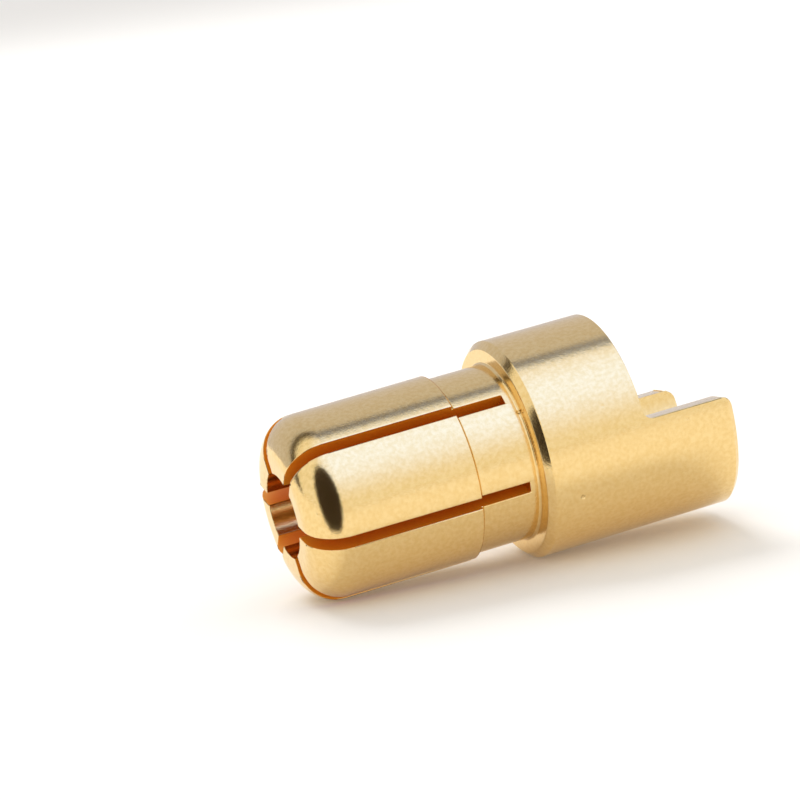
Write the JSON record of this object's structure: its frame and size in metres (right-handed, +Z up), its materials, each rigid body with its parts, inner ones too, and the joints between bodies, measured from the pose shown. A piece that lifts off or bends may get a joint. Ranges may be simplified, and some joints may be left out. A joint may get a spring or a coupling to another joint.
{
  "type": "bullet connector plug",
  "caption": "Gold-plated male bullet plug for a battery lead: slotted sprung fingers with a domed nose, a larger round body and a solder cup milled open as a trough.",
  "frame": {"origin": "centre of the footprint of the plug's box, on the surface it lies on", "axes": "+X along the plug from the nose to the solder cup, as seen from above; +Z up; the nose end lies lower than the body, because the fingers are slimmer"},
  "size_m": [0.0162, 0.0076, 0.008],
  "materials": {
    "gold_plate": "polished gold plating on turned brass"
  },
  "bodies": {
    "root": {"bullet_plug": "gold_plate"}
  },
  "joints": []
}
